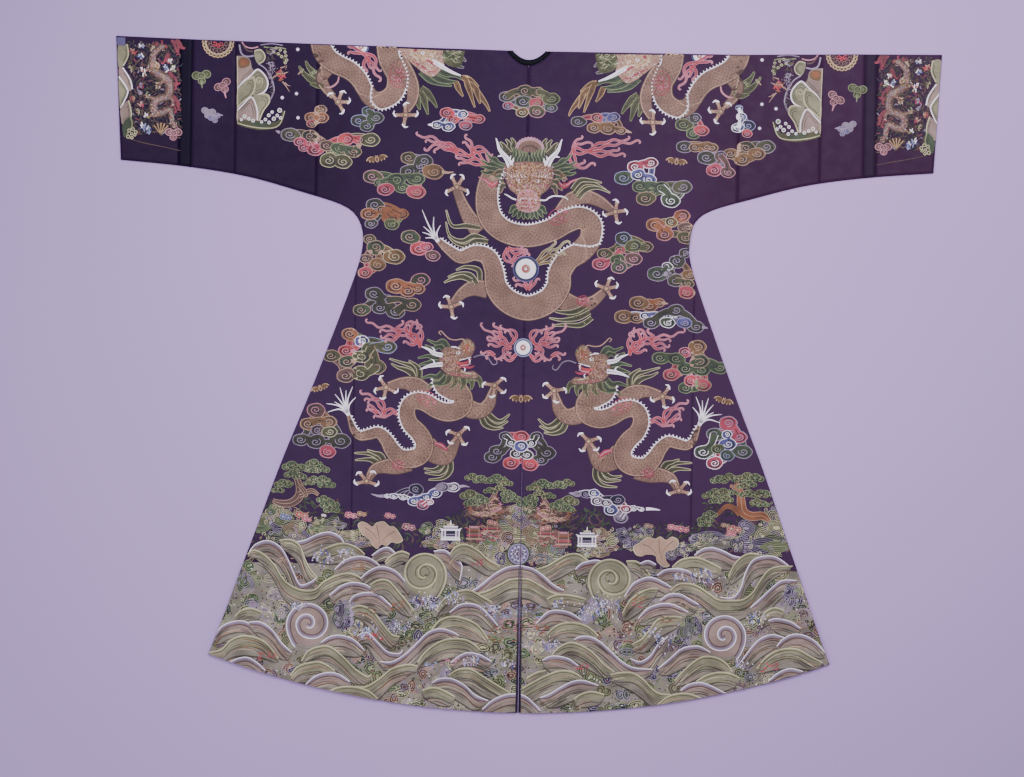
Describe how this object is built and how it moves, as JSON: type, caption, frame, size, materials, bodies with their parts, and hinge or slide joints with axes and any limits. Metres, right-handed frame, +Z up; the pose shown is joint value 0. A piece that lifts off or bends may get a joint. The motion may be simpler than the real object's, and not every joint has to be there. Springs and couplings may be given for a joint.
{
  "type": "lined silk surcoat",
  "caption": "Long wide-sleeved lined silk surcoat laid flat with its back up: folded shoulders, side gores, banded cuffs, bound neck and a vent up the centre back.",
  "frame": {"origin": "middle of the garment's outline, on the surface that it lies on", "axes": "+X across the garment towards the wearer's right cuff, +Y from the hem towards the neck, +Z up from the surface; the back is uppermost"},
  "size_m": [1.75, 1.4206, 0.006],
  "materials": {
    "ground_silk": "deep purple satin with a soft sheen",
    "dark_silk": "dark blue-black satin",
    "binding_silk": "black satin",
    "lining_silk": "pale blue plain weave",
    "gold_thread": "couched gold thread, dull and warm",
    "green_silk": "olive silk",
    "brown_silk": "grey-brown silk",
    "cream_silk": "cream silk outlines",
    "pink_silk": "faded rose silk",
    "red_silk": "red silk",
    "orange_silk": "burnt orange silk",
    "blue_silk": "slate blue silk",
    "white_silk": "white silk"
  },
  "bodies": {
    "root": {"body_right": "ground_silk", "body_left": "ground_silk", "back_gore_right": "ground_silk", "back_gore_left": "ground_silk", "front_gore_right": "ground_silk", "front_gore_left": "ground_silk", "sleeve_right": "ground_silk", "sleeve_left": "ground_silk", "fore_sleeve_right": "ground_silk", "fore_sleeve_left": "ground_silk", "sleeve_band_right": "dark_silk", "sleeve_band_left": "dark_silk", "cuff_right": "ground_silk", "cuff_left": "ground_silk", "neck_binding": "binding_silk", "lining_corner_left": "lining_silk"}
  },
  "joints": []
}
